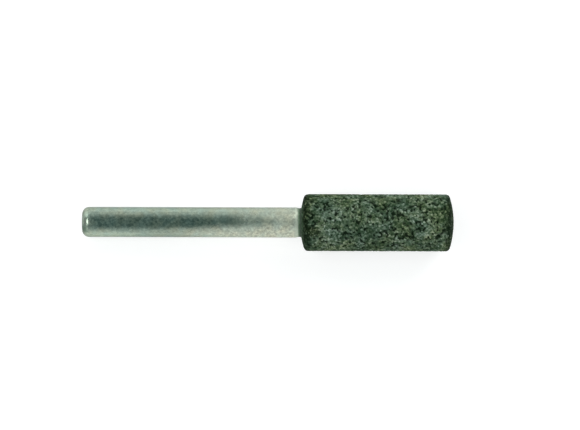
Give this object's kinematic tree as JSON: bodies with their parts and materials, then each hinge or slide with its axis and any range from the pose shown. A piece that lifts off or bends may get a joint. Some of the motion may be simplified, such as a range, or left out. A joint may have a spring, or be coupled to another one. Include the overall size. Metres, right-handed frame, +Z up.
{
  "type": "mounted point",
  "caption": "Mounted point: a domed cylindrical head of coarse green abrasive, cemented on a plain round steel spindle for a collet.",
  "frame": {"origin": "centre of the flat drive end of the shank, on the tool axis", "axes": "+X along the tool axis from the drive end to the tip of the head, +Z up as the tool lies"},
  "size_m": [0.0736, 0.0112, 0.0112],
  "materials": {
    "steel": "satin ground steel, dulled near the head",
    "cement": "matte dark green bonding cement",
    "abrasive": "coarse vitrified green grit, open pores, trued on the cylinder"
  },
  "bodies": {
    "root": {"spindle": "steel", "cement": "cement", "abrasive_head": "abrasive"}
  },
  "joints": []
}
